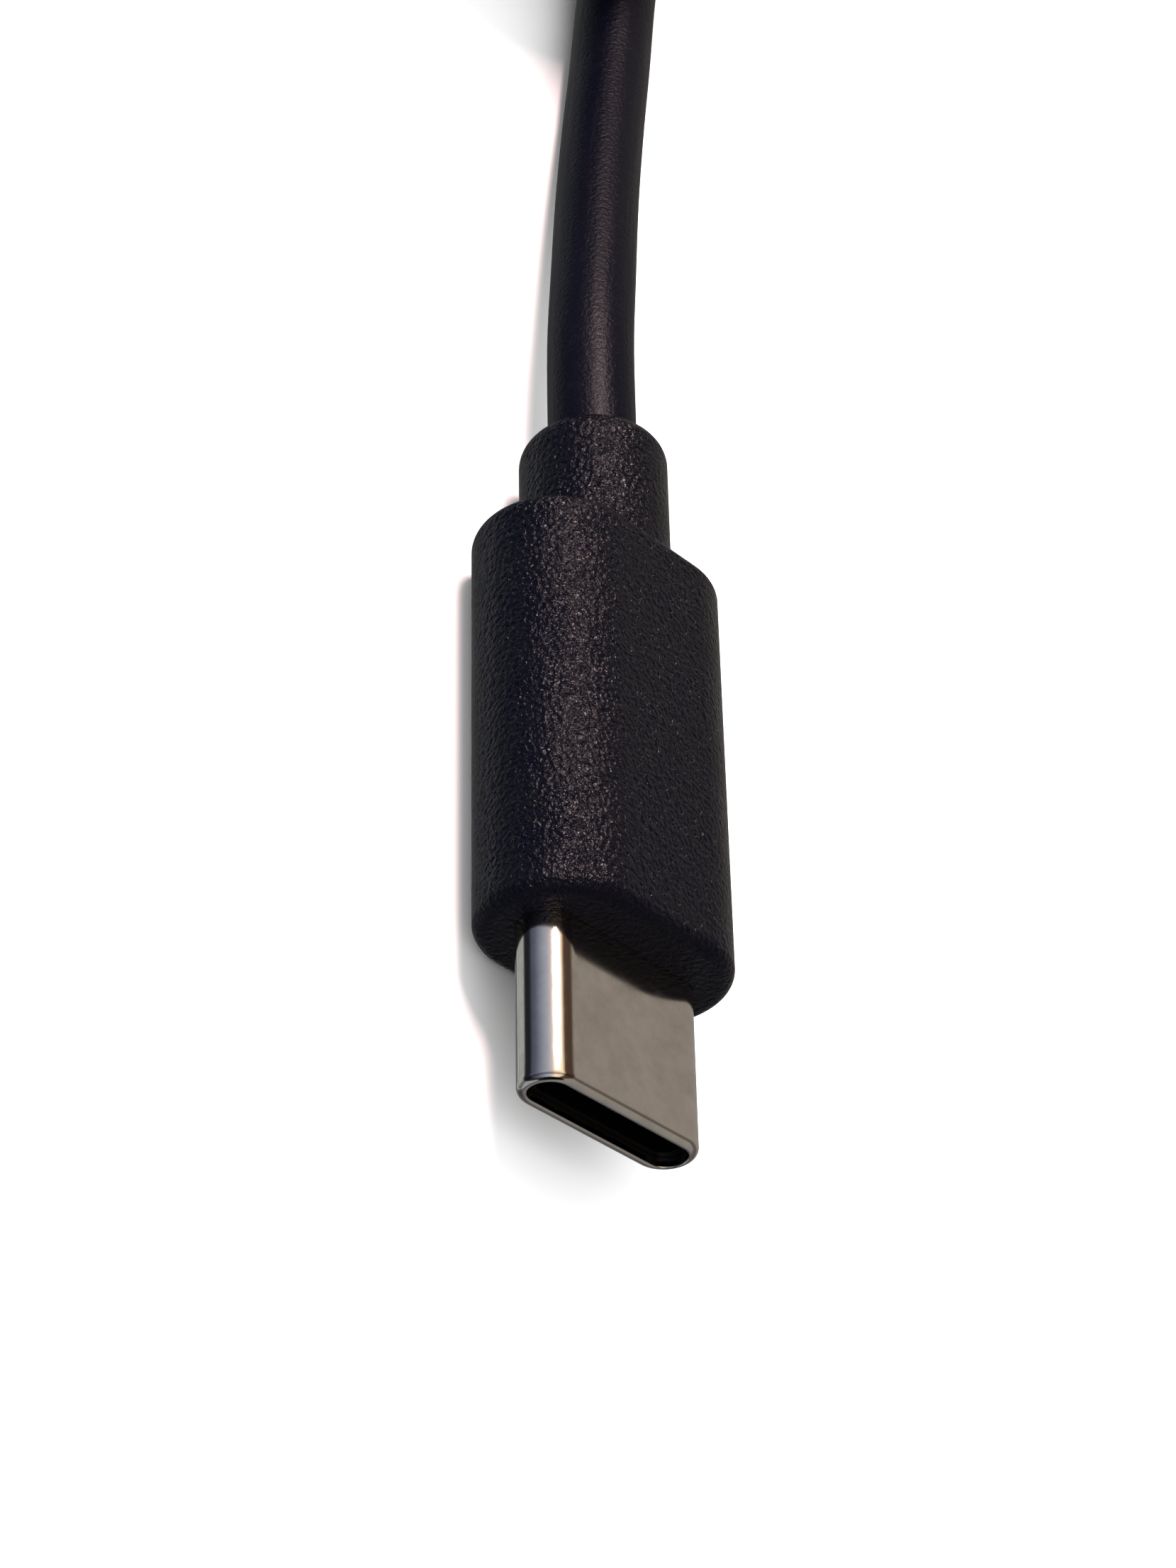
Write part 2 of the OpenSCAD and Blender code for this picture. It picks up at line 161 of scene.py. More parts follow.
# The hank is a long loop wound six times: up one side, round the far fold, and down the other side, where each
# pass steps over to the next cell of a bundle two wide and three high, then round the near fold
def cordRoute(values):
    d, fold = values["diameter"], values["fold"]
    midX, midY = values["hankMiddle"]
    far, near = midY + values["run"] / 2, midY - values["run"] / 2
    heights = values["floorGap"] + d / 2 + d * np.arange(3)
    cells = [(fold + d, heights[0]), (fold + d, heights[1]), (fold + d, heights[2]),
             (fold, heights[2]), (fold, heights[1]), (fold, heights[0])]
    parts = [smoothLine(values["lead"])]
    for turn, (radius, z) in enumerate(cells):
        up = np.linspace(near, far, 40)
        parts.append(np.stack([midX + radius + 0 * up, up, z + 0 * up], axis=1))
        if turn == len(cells) - 1:
            break
        parts.append(arc((midX, far), radius, 0, 180, z, z))
        nextRadius, nextZ = cells[turn + 1]
        down = np.linspace(far, near, 60)
        share = ease((far - down - 2 - values["changeStagger"] * (4 - turn) * 0.9) / values["change"])[:, None]
        start, end = np.array([midX - radius, z]), np.array([midX - nextRadius, nextZ])
        side = start + (end - start) * share
        parts.append(np.stack([side[:, 0], down, side[:, 1]], axis=1))
        parts.append(arc((midX, near), nextRadius, 180, 360, nextZ, nextZ))
    turned = 180 + values["tailTurn"]
    parts.append(arc((midX, far), fold, 0, turned, heights[0], heights[0]))
    leaving = np.radians(turned)
    out = fold + values["tailRadius"]
    tailCenter = (midX + out * math.cos(leaving), far + out * math.sin(leaving))
    tail = arc(tailCenter, values["tailRadius"], values["tailTurn"], 0, heights[0], farPlace[2])
    tail[:, 0] += (farPlace[0] - tail[-1, 0]) * ease(np.linspace(0, 1, len(tail)))
    tail[-1, 1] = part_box("far_overmould")[1].y / mm
    parts.append(tail)
    line = np.vstack(parts)
    keep = np.append(True, np.linalg.norm(np.diff(line, axis=0), axis=1) > 0.05)
    keep[-1] = True
    return line[keep]


# Points spaced evenly by length along a line
def evenLine(line, step):
    along = np.append(0, np.cumsum(np.linalg.norm(np.diff(line, axis=0), axis=1)))
    marks = np.linspace(0, along[-1], int(along[-1] / step) + 1)
    return np.stack([np.interp(marks, along, line[:, k]) for k in range(3)], axis=1), along[-1]


# A round tube: at each point of the line a circle stands square to it, its own up kept as near to +Z as it can be
def tubeGrid(line, radius, sides):
    ahead = np.gradient(line, axis=0)
    ahead[0], ahead[-1] = line[1] - line[0], line[-1] - line[-2]
    ahead /= np.linalg.norm(ahead, axis=1, keepdims=True)
    across = np.cross(ahead, [0, 0, 1])
    across /= np.linalg.norm(across, axis=1, keepdims=True)
    up = np.cross(across, ahead)
    angle = np.linspace(0, 2 * math.pi, sides, endpoint=False)[None, :, None]
    return line[:, None] + radius * (np.cos(angle) * across[:, None] + np.sin(angle) * up[:, None])


def makeCord(values):
    line, length = evenLine(cordRoute(values), values["step"])
    line[1:-1] = (line[:-2] + 2 * line[1:-1] + line[2:]) / 4  # takes the last kinks out of the joins
    grid = tubeGrid(line, values["diameter"] / 2, values["sides"])
    cord = gridPiece("cord", grid[:, ::-1], ends=True, uvSize=values["step"] * mm)
    print("cord made,", round(length), "mm long")
    return cord, line, length


cord, cordLine, cordLength = makeCord(cordValues)
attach(cord, "root")
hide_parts("cord_lead", "cord_hank", "cord_tail")

# Grip: a pill-shaped section carried along the plug, round at the boss, with its true pocket, chamber and bore
gripValues = {
    "width": 10.85,
    "height": 6.4,
    "front": 6.7,
    "length": 17.7,
    "edge": 0.55,
    "boss": 5.8,
    "bossLength": 5.8,
    "bossEdge": 0.9,
    "bossRoot": 0.25,
    "pocket": (8.25, 2.4),
    "pocketEdge": 0.02,
    "chamber": (9.0, 4.4),
    "chamberFrom": 7.9,
    "chamberTo": 20.49,
    "bore": 3.5,
    "around": 360,
}


# Directions from the middle to points spaced evenly along the outline of a pill
def pillDirections(width, height, count):
    flat, r = (width - height) / 2, height / 2
    outline = 4 * flat + 2 * math.pi * r
    s = np.arange(count) / count * outline
    s = (s + flat) % outline  # starts at the middle of the top flat
    top, round1 = 2 * flat, math.pi * r
    x = np.select([s < top, s < top + round1, s < 2 * top + round1],
                  [flat - s, -flat - r * np.sin((s - top) / r), s - top - round1 - flat],
                  flat + r * np.sin((s - 2 * top - round1) / r))
    z = np.select([s < top, s < top + round1, s < 2 * top + round1],
                  [r + 0 * s, r * np.cos((s - top) / r), -r + 0 * s],
                  -r * np.cos((s - 2 * top - round1) / r))
    return np.arctan2(z, x)


# How far a pill's outline lies from its middle in each direction: the flat where the ray meets it, else the round
def pillReach(angle, width, height):
    flat, r = (width - height) / 2, height / 2
    c, s = np.abs(np.cos(angle)), np.abs(np.sin(angle))
    onFlat = c * r <= s * flat
    toFlat = r / np.maximum(s, 1e-9)
    toRound = flat * c + np.sqrt(np.maximum(r * r - (flat * s) ** 2, 0))
    return np.where(onFlat, toFlat, toRound)


# Inset and advance of a quarter round between two square directions
def quarter(radius, count=9):
    angle = np.linspace(0, math.pi / 2, count)
    return radius * (1 - np.sin(angle)), radius * (1 - np.cos(angle))


# Each row is a reach in every direction, at one station: up the front face, back along the side, down the boss, and
# home through the inside. Where body and boss meet, a row takes the greater of the two
def gripRows(angle, v):
    w, h, edge, y0 = v["width"], v["height"], v["edge"], v["front"]
    y1, y2 = y0 + v["length"], y0 + v["length"] + v["bossLength"]
    boss, bore = v["boss"] / 2, v["bore"] / 2
    pocket, chamber = pillReach(angle, *v["pocket"]), pillReach(angle, *v["chamber"])
    face = pillReach(angle, w - 2 * edge, h - 2 * edge)
    rows = []

    def add(reach, station):
        rows.append((reach + 0 * angle, station + 0 * angle))

    lip = v["pocketEdge"]
    for t in np.linspace(0, math.pi / 2, 5):  # soft lip of the pocket
        add(pocket + lip * (1 - math.cos(t)), y0 + lip * (1 - math.sin(t)))
    for share in (0.2, 0.45, 0.7, 0.95):  # front face, flat up to the edge's round
        add(pocket + (face - pocket) * share, y0)
    for inset, ahead in zip(*quarter(edge, 13)):
        add(pillReach(angle, w - 2 * inset, h - 2 * inset), y0 + ahead)
    for share in np.linspace(0, 1, 26)[1:-1]:
        add(pillReach(angle, w, h), y0 + edge + (v["length"] - 2 * edge) * share)
    for inset, ahead in list(zip(*quarter(edge, 25)))[::-1]:
        add(np.maximum(pillReach(angle, w - 2 * inset, h - 2 * inset), boss), y1 - ahead)
    root = np.minimum(face, boss + v["bossRoot"])
    for step, share in enumerate((0.1, 0.4, 0.7, 0.95)):  # back face, closing in to the round boss
        add(np.maximum(face + (root - face) * share, boss), y1 + 0.002 * (step + 1))
    for t in np.linspace(0, math.pi / 2, 7):  # hollow round at the boss's root, no wider than the back face
        reach = boss + v["bossRoot"] * (1 - math.sin(t))
        add(np.maximum(np.minimum(face, reach), boss), y1 + 0.012 + v["bossRoot"] * (1 - math.cos(t)))
    for share in np.linspace(0, 1, 10)[1:]:
        add(boss, y1 + v["bossRoot"] + 0.012 + (v["bossLength"] - v["bossRoot"] - 0.012 - v["bossEdge"]) * share)
    for inset, ahead in list(zip(*quarter(v["bossEdge"], 13)))[::-1][1:]:
        add(boss - inset, y2 - ahead)
    add(bore + 0.05, y2)
    add(bore, y2 - 0.05)
    add(bore, v["chamberTo"])
    add(chamber, v["chamberTo"])
    add(chamber, v["chamberFrom"])
    add(pocket, v["chamberFrom"])
    return np.array(rows)


def makeGrip(name, place, v):
    angle = pillDirections(v["width"], v["height"], v["around"])
    rows = gripRows(angle, v)
    reach, station = rows[:, 0], rows[:, 1]
    grid = np.stack([reach * np.cos(angle), station, reach * np.sin(angle)], axis=-1)
    return gridPiece(name, grid[::-1] + place, loop=True)


# Metal tip: rows of a pill that shares its round centres, folded over the front edge into the mouth and back inside
shellValues = {
    "width": 8.25,
    "height": 2.4,
    "length": 8.3,
    "wall": 0.22,
    "mouth": (7.58, 1.55),
    "lip": 0.4,
    "edge": 0.3,
    "mouthEdge": 0.05,
    "roundPoints": 72,
    "flatPoints": 40,
}


# A pill's outline as round centres' share and outward direction, so that every size uses the same columns
def pillColumns(roundPoints, flatPoints):
    turn = np.linspace(math.pi / 2, 3 * math.pi / 2, roundPoints)
    flat = np.linspace(-1, 1, flatPoints + 2)[1:-1]
    share = np.concatenate([-np.ones(roundPoints), flat, np.ones(roundPoints), -flat])
    nx = np.concatenate([np.cos(turn), 0 * flat, np.cos(turn + math.pi), 0 * flat])
    nz = np.concatenate([np.sin(turn), 0 * flat - 1, np.sin(turn + math.pi), 0 * flat + 1])
    return share, nx, nz


def shellRows(v):
    w, h, end = v["width"], v["height"], v["length"]
    bore = (w - 2 * v["wall"], h - 2 * v["wall"])
    rows = [(w, h, y) for y in np.linspace(end, v["edge"], 14)]
    for t in np.linspace(0, math.pi / 2, 12)[1:]:
        i = v["edge"] * (1 - math.cos(t))
        rows.append((w - 2 * i, h - 2 * i, v["edge"] * (1 - math.sin(t))))
    mw, mh = v["mouth"]
    m = v["mouthEdge"]
    for t in np.linspace(0, math.pi / 2, 6):
        i = m * (1 - math.sin(t))
        rows.append((mw + 2 * i if mw + 2 * i < w - 2 * v["edge"] else w - 2 * v["edge"] - 0.002, mh + 2 * i,
                     m * (1 - math.cos(t))))
    rows += [(mw, mh, v["lip"]), (*bore, v["lip"]), (*bore, end)]
    return np.array(rows)


def makeShell(name, place, v):
    share, nx, nz = pillColumns(v["roundPoints"], v["flatPoints"])
    rows = shellRows(v)
    flat, r = (rows[:, :1] - rows[:, 1:2]) / 2, rows[:, 1:2] / 2
    grid = np.stack([flat * share + r * nx, np.repeat(rows[:, 2:], len(share), axis=1), r * nz], axis=-1)
    return gridPiece(name, grid + place, loop=True, sharpAngle=35)


grips, shells = [], []
for prefix, place in (("", tipPlace), ("far_", farPlace)):
    grip = makeGrip(prefix + "soft_grip", place, gripValues)
    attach(grip, "root")
    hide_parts(prefix + "overmould")
    grips.append(grip)
    shell = makeShell(prefix + "tip_shell", place, shellValues)
    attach(shell, "root")
    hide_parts(prefix + "shell")
    shells.append(shell)
print("grips and tips made")

# Ties: a flat strap laid round three by two runs, its end lapped over its start on the top
tieValues = {
    "width": 5.0,
    "thick": 0.5,
    "overlap": 5.5,
    "ramp": 3.0,
    "edge": 0.12,
    "step": 0.35,
}


# Points of a rectangle's outline with round corners, clockwise from a place on its top and round to it again
def softLoop(x0, x1, z0, z1, r, startX):
    turn = np.linspace(0, math.pi / 2, 10)
    corners = [((x1 - r, z1 - r), math.pi / 2 - turn), ((x1 - r, z0 + r), -turn),
               ((x0 + r, z0 + r), -math.pi / 2 - turn), ((x0 + r, z1 - r), math.pi - turn)]
    points = [np.array([[startX, z1]])]
    for (cx, cz), angle in corners:
        points.append(np.stack([cx + r * np.cos(angle), cz + r * np.sin(angle)], axis=1))
    points.append(np.array([[startX, z1]]))
    return np.vstack(points)


# The strap's own section is a thin rounded rectangle: it stands square to the loop, and the lap rises by its thickness
def tieGrid(side, v):
    d, t = cordValues["diameter"], v["thick"]
    x0, x1 = cordValues["fold"] - d / 2, cordValues["fold"] + 1.5 * d
    z0, z1 = cordValues["floorGap"], cordValues["floorGap"] + 3 * d
    startX = x0 + d / 2 + 0.1
    loop = softLoop(x0 - t / 2, x1 + t / 2, z0 - t / 2, z1 + t / 2, d / 2 + t / 2, startX)
    along = np.append(0, np.cumsum(np.linalg.norm(np.diff(loop, axis=0), axis=1)))
    total = along[-1]
    marks = np.linspace(0, total + v["overlap"], int((total + v["overlap"]) / v["step"]))
    line = np.stack([np.interp(marks % total, along, loop[:, k]) for k in range(2)], axis=1)
    ahead = np.stack([np.interp((marks + 0.2) % total, along, loop[:, k])
                      - np.interp((marks - 0.2) % total, along, loop[:, k]) for k in range(2)], axis=1)
    ahead /= np.linalg.norm(ahead, axis=1, keepdims=True)
    out = np.stack([-ahead[:, 1], ahead[:, 0]], axis=1)
    lift = t * 0.96 * ease((marks - total + v["ramp"]) / v["ramp"])
    line = line + out * lift[:, None]
    e, w = v["edge"], v["width"]
    turn = np.linspace(0, math.pi / 2, 4)
    section = np.vstack([np.stack([sx * (w / 2 - e) + e * np.cos(turn + a), sz * (t / 2 - e) + e * np.sin(turn + a)], axis=1)
                         for sx, sz, a in ((1, 1, 0), (-1, 1, math.pi / 2), (-1, -1, math.pi), (1, -1, -math.pi / 2))])
    x = line[:, None, 0] + out[:, None, 0] * section[None, :, 1]
    z = line[:, None, 1] + out[:, None, 1] * section[None, :, 1]
    y = np.broadcast_to(section[None, :, 0], x.shape)
    midX, midY = cordValues["hankMiddle"]
    return np.stack([midX + side * x, midY + side * y, z], axis=-1)


def makeTies(v):
    pieces = [gridPiece("tie", tieGrid(side, v), ends=True, uvSize=v["step"] * mm) for side in (1, -1)]
    with bpy.context.temp_override(active_object=pieces[0], selected_editable_objects=pieces, object=pieces[0],
                                   selected_objects=pieces):
        bpy.ops.object.join()
    pieces[0].name = "tie_straps"
    return pieces[0]


ties = makeTies(tieValues)
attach(ties, "root")
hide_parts("hank_ties")
print("ties made")


# Finishes. Each is a node material on one shader; patterns read the object's own coordinates in metres
def newFinish(name, color, roughness, metallic=0.0, specular=0.5):
    material = bpy.data.materials.new(name)
    material.use_nodes = True
    shader = material.node_tree.nodes["Principled BSDF"]
    shader.inputs["Base Color"].default_value = (*color, 1)
    shader.inputs["Roughness"].default_value = roughness
    shader.inputs["Metallic"].default_value = metallic
    shader.inputs["Specular IOR Level"].default_value = specular
    return material, material.node_tree, shader


# The place that a pattern is read at, stretched by one factor each way
def patternPlace(tree, stretch=(1, 1, 1), source="Object"):
    coordinates = tree.nodes.new("ShaderNodeTexCoord")
    mapping = tree.nodes.new("ShaderNodeMapping")
    mapping.inputs["Scale"].default_value = stretch
    tree.links.new(coordinates.outputs[source], mapping.inputs["Vector"])
    return mapping.outputs["Vector"]


# Cloudy noise whose lumps measure size in millimetres
def cloud(tree, place, size, detail=2.0, rough=0.5, distortion=0.0):
    noise = tree.nodes.new("ShaderNodeTexNoise")
    noise.inputs["Scale"].default_value = 1 / (size * mm)
    noise.inputs["Detail"].default_value = detail
    noise.inputs["Roughness"].default_value = rough
    noise.inputs["Distortion"].default_value = distortion
    tree.links.new(place, noise.inputs["Vector"])
    return noise.outputs["Fac"]


# Pebbled cells that measure size in millimetres: low at each cell's middle and high at its rim
def pebbles(tree, place, size, feature="F1"):
    cells = tree.nodes.new("ShaderNodeTexVoronoi")
    cells.feature = feature
    cells.inputs["Scale"].default_value = 1 / (size * mm)
    tree.links.new(place, cells.inputs["Vector"])
    return cells.outputs["Distance"]


# A value stretched from one range to another, held at its ends
def between(tree, value, low, high, outLow, outHigh):
    node = tree.nodes.new("ShaderNodeMapRange")
    for socket, number in zip(("From Min", "From Max", "To Min", "To Max"), (low, high, outLow, outHigh)):
        node.inputs[socket].default_value = number
    tree.links.new(value, node.inputs["Value"])
    return node.outputs["Result"]


# Two colours mixed by a pattern
def blendColors(tree, value, first, second, socket):
    mix = tree.nodes.new("ShaderNodeMix")
    mix.data_type = "RGBA"
    mix.inputs["A"].default_value, mix.inputs["B"].default_value = (*first, 1), (*second, 1)
    tree.links.new(value, mix.inputs["Factor"])
    tree.links.new(mix.outputs["Result"], socket)


# Relief from a pattern, its full height in millimetres, laid over the relief before it
def relief(tree, shader, height, depth, before=None):
    bump = tree.nodes.new("ShaderNodeBump")
    bump.inputs["Distance"].default_value = depth * mm
    tree.links.new(height, bump.inputs["Height"])
    if before is not None:
        tree.links.new(before, bump.inputs["Normal"])
    tree.links.new(bump.outputs["Normal"], shader.inputs["Normal"])
    return bump.outputs["Normal"]


# Sum of two patterns, each times its weight
def weighted(tree, first, firstWeight, second, secondWeight):
    terms = []
    for value, weight in ((first, firstWeight), (second, secondWeight)):
        times = tree.nodes.new("ShaderNodeMath")
        times.operation = "MULTIPLY"
        times.inputs[1].default_value = weight
        tree.links.new(value, times.inputs[0])
        terms.append(times.outputs["Value"])
    total = tree.nodes.new("ShaderNodeMath")
    total.operation = "ADD"
    tree.links.new(terms[0], total.inputs[0])
    tree.links.new(terms[1], total.inputs[1])
    return total.outputs["Value"]


# One axis of a place
def axisOf(tree, place, axis):
    split = tree.nodes.new("ShaderNodeSeparateXYZ")
    tree.links.new(place, split.inputs["Vector"])
    return split.outputs[axis]


gripFinishValues = {
    "color": (0.0008, 0.0011, 0.0040),
    "dust": (0.0032, 0.0032, 0.0055),
    "roughness": 0.245,
    "grain": 0.18,
    "grainDepth": 0.125,
    "speck": 0.35,
    "partingWidth": 0.07,
    "partingDepth": 0.02,
}


# Moulded rubber: sparked grain all over, faint clouds in its colour and gloss, a parting line round the middle
def gripRubber(v):
    material, tree, shader = newFinish("grip rubber", v["color"], v["roughness"], specular=0.12)
    place = patternPlace(tree)
    fine = cloud(tree, place, v["grain"], 2, 0.55, 0.6)
    cells = pebbles(tree, place, v["grain"] * 1.2)
    grain = weighted(tree, fine, 0.8, cells, 0.45)
    first = relief(tree, shader, grain, v["grainDepth"])
    height = axisOf(tree, place, "Z")
    away = tree.nodes.new("ShaderNodeMath")
    away.operation = "COMPARE"
    away.inputs[1].default_value = tipPlace[2] * mm
    away.inputs[2].default_value = v["partingWidth"] / 2 * mm
    tree.links.new(height, away.inputs[0])
    relief(tree, shader, away.outputs["Value"], v["partingDepth"], first)
    clouds = cloud(tree, place, 2.4, 4)
    specks = cloud(tree, place, v["speck"], 1, 0.4)
    tone = weighted(tree, between(tree, clouds, 0.35, 0.7, 0, 0.25), 1, between(tree, specks, 0.74, 0.8, 0, 1), 1)
    blendColors(tree, tone, v["color"], v["dust"], shader.inputs["Base Color"])
    tree.links.new(between(tree, clouds, 0.3, 0.7, v["roughness"] - 0.05, v["roughness"] + 0.07),
                   shader.inputs["Roughness"])
    return material


tipFinishValues = {
    "color": (0.67, 0.65, 0.63),
    "dull": (0.53, 0.51, 0.49),
    "roughness": 0.11,
    "mottle": 0.8,
    "waveDepth": 0.002,
    "grainDepth": 0.0006,
}


# Drawn and plated steel: a soft mottle in its tone and gloss, fine draw lines along the plug, a faint wave
def tipPlate(v):
    material, tree, shader = newFinish("tip plate", v["color"], v["roughness"], metallic=1.0)
    place = patternPlace(tree)
    mottle = cloud(tree, place, v["mottle"], 5, 0.6)
    drawn = cloud(tree, patternPlace(tree, (1, 0.08, 1)), 0.06, 3, 0.6)
    blendColors(tree, between(tree, mottle, 0.3, 0.75, 0, 1), v["color"], v["dull"], shader.inputs["Base Color"])
    tree.links.new(between(tree, mottle, 0.25, 0.75, v["roughness"] - 0.03, v["roughness"] + 0.05),
                   shader.inputs["Roughness"])
    wave = relief(tree, shader, cloud(tree, place, 1.6, 1), v["waveDepth"])
    relief(tree, shader, drawn, v["grainDepth"], wave)
    return material


cordFinishValues = {
    "color": (0.0014, 0.0017, 0.0052),
    "dust": (0.0055, 0.0054, 0.0085),
    "roughness": 0.35,
    "grain": 0.17,
    "grainDepth": 0.045,
    "streak": 0.35,
}


# Extruded jacket: satin, with long faint streaks along the cord from its own map, and fine dust
def cordJacket(v):
    material, tree, shader = newFinish("cord jacket", v["color"], v["roughness"], specular=0.085)
    place = patternPlace(tree)
    grain = cloud(tree, place, v["grain"], 3, 0.6)
    streaks = cloud(tree, patternPlace(tree, (0.011, 0.06, 1), "UV"), v["streak"], 2)
    first = relief(tree, shader, grain, v["grainDepth"])
    relief(tree, shader, streaks, 0.008, first)
    dust = between(tree, cloud(tree, place, 0.5, 3, 0.7), 0.55, 0.8, 0, 0.6)
    blendColors(tree, dust, v["color"], v["dust"], shader.inputs["Base Color"])
    tree.links.new(between(tree, streaks, 0.3, 0.7, v["roughness"] - 0.05, v["roughness"] + 0.06),
                   shader.inputs["Roughness"])
    return material


# Glass-filled plastic: matt, with short pale fibre flecks and a fine pebble
def filledPlastic(name, color, fleck, specular=0.2):
    material, tree, shader = newFinish(name, color, 0.5, specular=specular)
    place = patternPlace(tree)
    flecks = cloud(tree, patternPlace(tree, (1, 0.3, 1)), 0.07, 2, 0.7)
    blendColors(tree, between(tree, flecks, 0.62, 0.72, 0, 1), color, fleck, shader.inputs["Base Color"])
    relief(tree, shader, cloud(tree, place, 0.05, 3), 0.004)
    tree.links.new(between(tree, flecks, 0.3, 0.7, 0.42, 0.6), shader.inputs["Roughness"])
    return material


# Stamped or rolled sheet metal: lines along the rolling direction, patches of duller plating
def sheetMetal(name, color, dull, roughness, stretch, size=0.05):
    material, tree, shader = newFinish(name, color, roughness, metallic=1.0)
    place = patternPlace(tree)
    lines = cloud(tree, patternPlace(tree, stretch), size, 3, 0.6)
    patches = cloud(tree, place, 0.9, 4, 0.6)
    blendColors(tree, between(tree, patches, 0.4, 0.7, 0, 1), color, dull, shader.inputs["Base Color"])
    tree.links.new(between(tree, lines, 0.3, 0.7, roughness - 0.08, roughness + 0.12), shader.inputs["Roughness"])
    relief(tree, shader, lines, 0.0015)
    return material


boardFinishValues = {
    "mask": (0.012, 0.075, 0.03),
    "overCopper": (0.03, 0.14, 0.05),
    "edge": (0.30, 0.25, 0.12),
    "trackPitch": 0.9,
}


# Circuit board: green mask with lighter tracks where copper lies under it, raised by the copper's thickness
def boardMask(v):
    material, tree, shader = newFinish("board mask", v["mask"], 0.28)
    place = patternPlace(tree)
    tracks = tree.nodes.new("ShaderNodeTexWave")
    tracks.bands_direction = "X"
    tracks.inputs["Scale"].default_value = 0.31 / (v["trackPitch"] * mm)
    tracks.inputs["Distortion"].default_value = 2.2
    tracks.inputs["Detail Scale"].default_value = 300
    tree.links.new(place, tracks.inputs["Vector"])
    copper = between(tree, tracks.outputs["Fac"], 0.5, 0.56, 0, 1)
    blendColors(tree, copper, v["mask"], v["overCopper"], shader.inputs["Base Color"])
    first = relief(tree, shader, copper, 0.02)
    relief(tree, shader, cloud(tree, place, 0.12, 3), 0.003, first)
    tree.links.new(between(tree, cloud(tree, place, 0.3, 2), 0.3, 0.7, 0.22, 0.36), shader.inputs["Roughness"])
    return material


# Chip capacitor: brown ceramic between tinned ends, told apart by the distance from the piece's middle
def chipBody(name, middle, halfBody=0.3):
    material, tree, shader = newFinish(name, (0.25, 0.15, 0.075), 0.4)
    place = patternPlace(tree)
    fromMiddle = tree.nodes.new("ShaderNodeMath")
    fromMiddle.operation = "SUBTRACT"
    fromMiddle.inputs[1].default_value = middle * mm
    tree.links.new(axisOf(tree, place, "X"), fromMiddle.inputs[0])
    size = tree.nodes.new("ShaderNodeMath")
    size.operation = "ABSOLUTE"
    tree.links.new(fromMiddle.outputs["Value"], size.inputs[0])
    ends = between(tree, size.outputs["Value"], (halfBody - 0.02) * mm, (halfBody + 0.02) * mm, 0, 1)
    blendColors(tree, ends, (0.25, 0.15, 0.075), (0.62, 0.62, 0.63), shader.inputs["Base Color"])
    tree.links.new(between(tree, ends, 0, 1, 0, 1), shader.inputs["Metallic"])
    relief(tree, shader, cloud(tree, place, 0.06, 3), 0.004)
    return material


# Solder: bright where it set slowly, grained and slightly brown at the flux
def solderJoint():
    material, tree, shader = newFinish("solder joint", (0.66, 0.67, 0.69), 0.25, metallic=1.0)
    place = patternPlace(tree)
    flux = cloud(tree, place, 0.35, 4, 0.6)
    blendColors(tree, between(tree, flux, 0.45, 0.75, 0, 1), (0.66, 0.67, 0.69), (0.42, 0.36, 0.28),
                shader.inputs["Base Color"])
    tree.links.new(between(tree, flux, 0.3, 0.7, 0.16, 0.45), shader.inputs["Roughness"])
    relief(tree, shader, cloud(tree, place, 0.12, 3), 0.01)
    return material


# Poured inner mould: milky and slightly see-through near the surface, with flow marks
def milkyMould():
    material, tree, shader = newFinish("milky mould", (0.66, 0.64, 0.57), 0.42)
    shader.inputs["Subsurface Weight"].default_value = 0.25
    shader.inputs["Subsurface Scale"].default_value = 0.6 * mm
    place = patternPlace(tree)
    flow = cloud(tree, patternPlace(tree, (1, 0.4, 1)), 1.1, 4, 0.6, 1.5)
    blendColors(tree, between(tree, flow, 0.3, 0.7, 0, 1), (0.66, 0.64, 0.57), (0.55, 0.52, 0.45),
                shader.inputs["Base Color"])
    relief(tree, shader, flow, 0.03)
    tree.links.new(between(tree, cloud(tree, place, 0.3, 2), 0.3, 0.7, 0.35, 0.5), shader.inputs["Roughness"])
    return material


# Wire insulation: glossy coloured plastic, faint lengthwise lines and a scuffed tone
def wireSkin(name, color):
    material, tree, shader = newFinish(name, color, 0.3)
    place = patternPlace(tree)
    scuff = cloud(tree, place, 0.4, 4, 0.6)
    darker = tuple(0.7 * channel for channel in color)
    blendColors(tree, between(tree, scuff, 0.45, 0.75, 0, 1), color, darker, shader.inputs["Base Color"])
    tree.links.new(between(tree, scuff, 0.3, 0.7, 0.24, 0.4), shader.inputs["Roughness"])
    relief(tree, shader, cloud(tree, patternPlace(tree, (1, 0.1, 1)), 0.1, 2), 0.004)
    return material


# Strap weave: over-and-under ribs from the strap's own map, with a fuzz of loops
def strapWeave():
    material, tree, shader = newFinish("strap weave", (0.008, 0.008, 0.009), 0.8, specular=0.15)
    shader.inputs["Sheen Weight"].default_value = 0.08
    shader.inputs["Sheen Roughness"].default_value = 0.5
    ribs = tree.nodes.new("ShaderNodeTexWave")
    ribs.bands_direction = "Y"
    ribs.inputs["Scale"].default_value = 0.31 / (0.45 * mm)
    ribs.inputs["Distortion"].default_value = 0.6
    tree.links.new(patternPlace(tree, source="UV"), ribs.inputs["Vector"])
    fuzz = cloud(tree, patternPlace(tree), 0.12, 4, 0.7)
    height = weighted(tree, ribs.outputs["Fac"], 0.6, fuzz, 0.8)
    relief(tree, shader, height, 0.12)
    blendColors(tree, between(tree, fuzz, 0.4, 0.75, 0, 1), (0.006, 0.006, 0.007), (0.018, 0.018, 0.021),
                shader.inputs["Base Color"])
    return material


